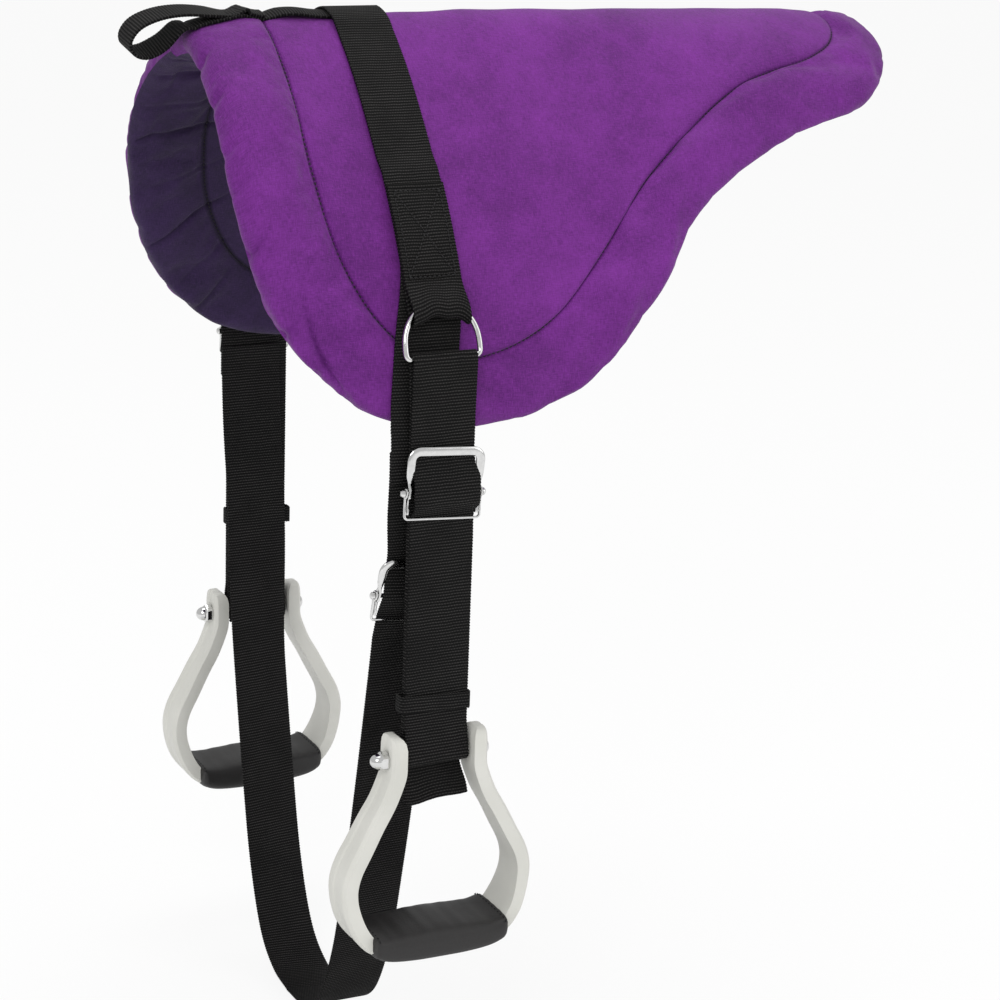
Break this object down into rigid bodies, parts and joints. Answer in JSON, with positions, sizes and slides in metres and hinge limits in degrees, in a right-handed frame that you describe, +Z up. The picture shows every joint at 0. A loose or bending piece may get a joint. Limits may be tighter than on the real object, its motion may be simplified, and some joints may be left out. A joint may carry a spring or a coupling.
{
  "type": "bareback pad",
  "caption": "Padded fabric riding pad with a grab handle, webbing girth and two stirrups hung on buckled straps from rings.",
  "frame": {"origin": "underside of the pad's ridge, in the plane of the stirrup straps", "axes": "+X along the spine to the tail, +Y to the off side, +Z up"},
  "size_m": [0.6214, 0.391, 0.7858],
  "materials": {
    "purple_canvas": "matte woven",
    "lining_cloth": "matte woven",
    "foam": "open cell foam",
    "black_webbing": "ribbed webbing",
    "nickel_plate": "bright nickel plate",
    "stirrup_polymer": "satin moulded",
    "tread_wrap": "matte, stitched"
  },
  "bodies": {
    "pad_body": {"pad_cover": "purple_canvas", "foam_core": "foam", "pad_lining": "lining_cloth", "rigging_strap": "black_webbing", "grab_handle": "black_webbing", "near_billet": "black_webbing", "off_billet": "black_webbing"},
    "girth_body": {"girth_strap": "black_webbing", "girth_buckle_frame": "nickel_plate", "girth_buckle_bar": "nickel_plate"},
    "girth_loop_body": {"girth_buckle_loop": "nickel_plate"},
    "near_ring_body": {"near_d_ring": "nickel_plate"},
    "near_strap_body": {"near_stirrup_strap": "black_webbing", "near_buckle_frame": "nickel_plate", "near_buckle_bar": "nickel_plate"},
    "near_loop_body": {"near_buckle_loop": "nickel_plate"},
    "near_keeper_body": {"near_keeper": "black_webbing"},
    "near_stirrup_body": {"near_stirrup": "stirrup_polymer", "near_tread": "tread_wrap", "near_stirrup_bolt": "nickel_plate", "near_bolt_sleeve": "nickel_plate", "near_bolt_nut": "nickel_plate"},
    "off_ring_body": {"off_d_ring": "nickel_plate"},
    "off_strap_body": {"off_stirrup_strap": "black_webbing", "off_buckle_frame": "nickel_plate", "off_buckle_bar": "nickel_plate"},
    "off_loop_body": {"off_buckle_loop": "nickel_plate"},
    "off_keeper_body": {"off_keeper": "black_webbing"},
    "off_stirrup_body": {"off_stirrup": "stirrup_polymer", "off_tread": "tread_wrap", "off_stirrup_bolt": "nickel_plate", "off_bolt_sleeve": "nickel_plate", "off_bolt_nut": "nickel_plate"}
  },
  "joints": [
    {"name": "girth_swing", "type": "hinge", "parent": "pad_body", "child": "girth_body", "pos_m": [-0.008, 0, -0.27577], "axis": [0, 1, 0], "range_deg": [-8, 8]},
    {"name": "girth_loop_swing", "type": "hinge", "parent": "girth_body", "child": "girth_loop_body", "pos_m": [-0.014, -0.1518, -0.37528], "axis": [-1, 0, 0], "range_deg": [0, 30]},
    {"name": "near_ring_swing", "type": "hinge", "parent": "pad_body", "child": "near_ring_body", "pos_m": [0, -0.15581, -0.16782], "axis": [-1, 0, 0], "range_deg": [0, 20]},
    {"name": "near_strap_swing", "type": "hinge", "parent": "near_ring_body", "child": "near_strap_body", "pos_m": [0, -0.16582, -0.19958], "axis": [-1, 0, 0], "range_deg": [0, 60]},
    {"name": "near_loop_swing", "type": "hinge", "parent": "near_strap_body", "child": "near_loop_body", "pos_m": [0, -0.17085, -0.29501], "axis": [-1, 0, 0], "range_deg": [0, 45]},
    {"name": "near_keeper_slide", "type": "slide", "parent": "near_strap_body", "child": "near_keeper_body", "axis": [0, 0, 1], "range_m": [-0.008, 0.11]},
    {"name": "near_stirrup_swing", "type": "hinge", "parent": "near_strap_body", "child": "near_stirrup_body", "pos_m": [0, -0.1695, -0.49221], "axis": [-1, 0, 0], "range_deg": [-10, 75]},
    {"name": "off_ring_swing", "type": "hinge", "parent": "pad_body", "child": "off_ring_body", "pos_m": [0, 0.15581, -0.16782], "axis": [1, 0, 0], "range_deg": [0, 20]},
    {"name": "off_strap_swing", "type": "hinge", "parent": "off_ring_body", "child": "off_strap_body", "pos_m": [0, 0.16582, -0.19958], "axis": [1, 0, 0], "range_deg": [0, 60]},
    {"name": "off_loop_swing", "type": "hinge", "parent": "off_strap_body", "child": "off_loop_body", "pos_m": [0, 0.17085, -0.25401], "axis": [1, 0, 0], "range_deg": [0, 45]},
    {"name": "off_keeper_slide", "type": "slide", "parent": "off_strap_body", "child": "off_keeper_body", "axis": [0, 0, 1], "range_m": [-0.049, 0.069]},
    {"name": "off_stirrup_swing", "type": "hinge", "parent": "off_strap_body", "child": "off_stirrup_body", "pos_m": [0, 0.1695, -0.49221], "axis": [1, 0, 0], "range_deg": [-10, 75]}
  ]
}
